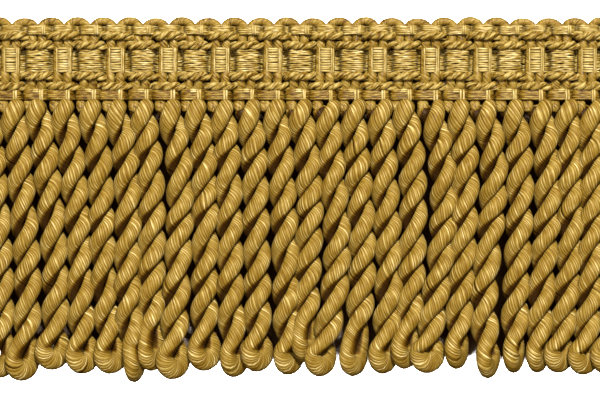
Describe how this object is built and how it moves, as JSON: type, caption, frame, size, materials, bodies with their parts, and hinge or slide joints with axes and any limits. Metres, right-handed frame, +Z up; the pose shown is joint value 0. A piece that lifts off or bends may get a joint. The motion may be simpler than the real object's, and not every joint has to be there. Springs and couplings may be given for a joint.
{
  "type": "cord fringe trim",
  "caption": "Bullion cord fringe trim: a woven heading with a scalloped top edge over a skirt of thick twisted cords, each ending in a loop.",
  "frame": {"origin": "centre of the footprint, on the surface that the trim lies on", "axes": "+X along the trim, +Y from the cords' loops to the heading's scalloped edge, +Z up out of the trim's face"},
  "size_m": [0.1396, 0.0764, 0.0053],
  "materials": {
    "bullion_yarn": "antique gold viscose, wrapped in fine thread, satin sheen",
    "weft_yarn": "antique gold viscose, soft roving, satin sheen",
    "gimp_cord": "antique gold viscose, two ply twisted",
    "satin_warp": "gold viscose thread laid side by side, bright sheen"
  },
  "bodies": {
    "root": {"bullion_skirt": "bullion_yarn", "heading_weft": "weft_yarn", "warp_band_top": "satin_warp", "gimp_cord_1": "gimp_cord", "gimp_cord_2": "gimp_cord", "warp_band_middle": "satin_warp", "gimp_cord_3": "gimp_cord", "gimp_cord_4": "gimp_cord", "warp_band_bottom": "satin_warp"}
  },
  "joints": []
}
